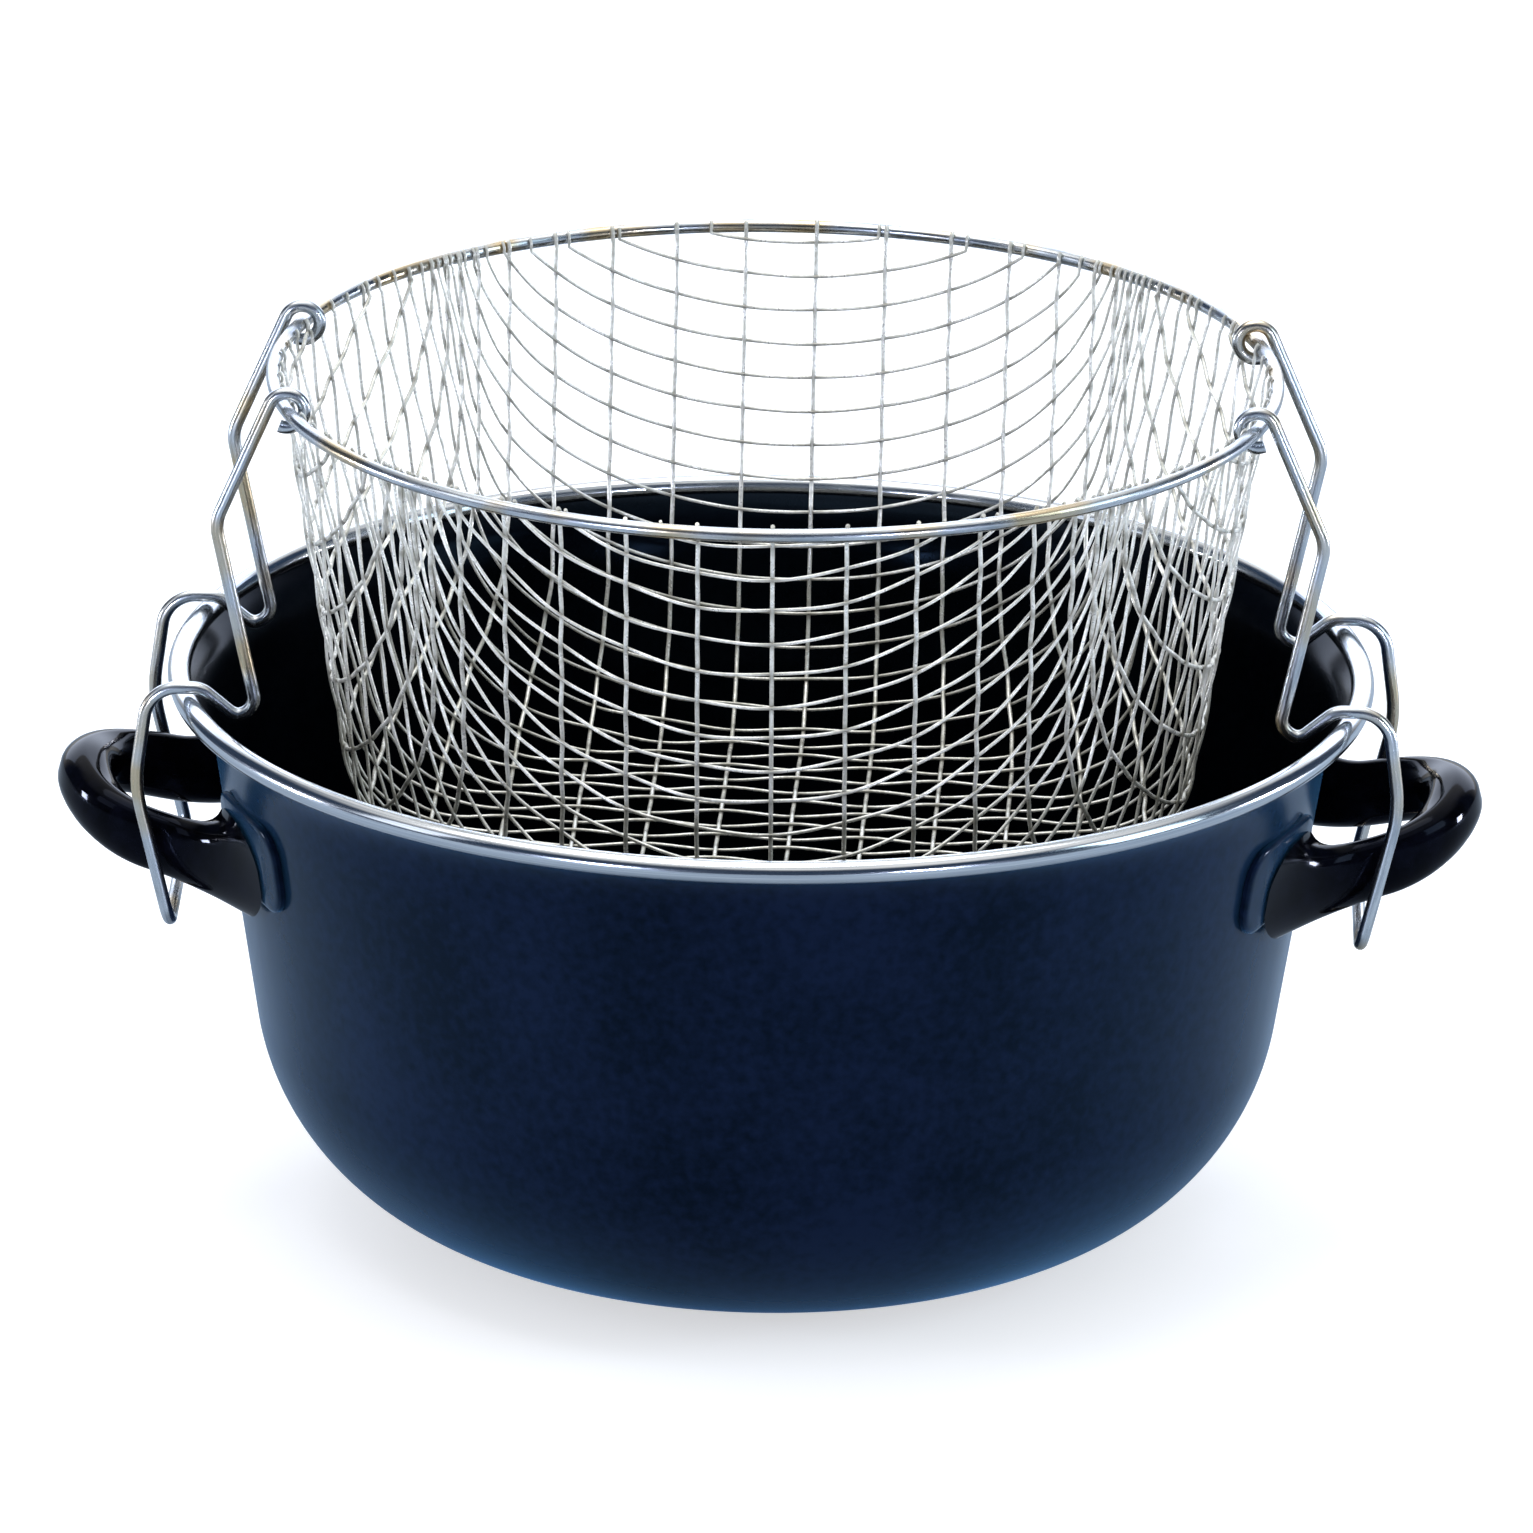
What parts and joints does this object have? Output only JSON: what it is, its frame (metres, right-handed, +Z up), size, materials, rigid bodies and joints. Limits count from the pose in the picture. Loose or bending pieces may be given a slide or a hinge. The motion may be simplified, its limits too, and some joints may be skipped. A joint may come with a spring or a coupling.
{
  "type": "deep fry pot with basket",
  "caption": "Round enamelled deep fry pot with steel rim and side handles, and a wire mesh basket hung on its rim from hinged wire bails.",
  "frame": {"origin": "centre of the pot's base, on the surface that the pot stands on", "axes": "+Z up along the pot's axis, +X towards the right-hand side handle, -Y towards the viewer of the picture"},
  "size_m": [0.3082, 0.2598, 0.1941],
  "materials": {
    "enamel": "gloss",
    "phenolic": "gloss",
    "rim_steel": "polished",
    "tinned_wire": "satin"
  },
  "bodies": {
    "pot": {"pot_shell": "enamel", "rim_band": "rim_steel", "handle_left": "phenolic", "handle_right": "phenolic", "handle_bracket_left_front": "enamel", "handle_bracket_left_rear": "enamel", "handle_bracket_right_front": "enamel", "handle_bracket_right_rear": "enamel"},
    "basket": {"basket_rim": "tinned_wire", "basket_mesh": "tinned_wire"},
    "bail_left": {"bail_left": "tinned_wire"},
    "bail_right": {"bail_right": "tinned_wire"}
  },
  "joints": [
    {"name": "basket_lift", "type": "slide", "parent": "pot", "child": "basket", "axis": [0, 0, 1], "range_m": [0, 0.088]},
    {"name": "bail_left_swing", "type": "hinge", "parent": "basket", "child": "bail_left", "pos_m": [-0.10305, 0, 0.1889], "axis": [0, 1, 0], "range_deg": [0, 160]},
    {"name": "bail_right_swing", "type": "hinge", "parent": "basket", "child": "bail_right", "pos_m": [0.10305, 0, 0.1889], "axis": [0, -1, 0], "range_deg": [0, 160]}
  ],
  "couplings": [
    {"joint": "bail_left_swing", "follows": "basket_lift", "rad_per_m": 31.416},
    {"joint": "bail_right_swing", "follows": "basket_lift", "rad_per_m": 31.416}
  ]
}
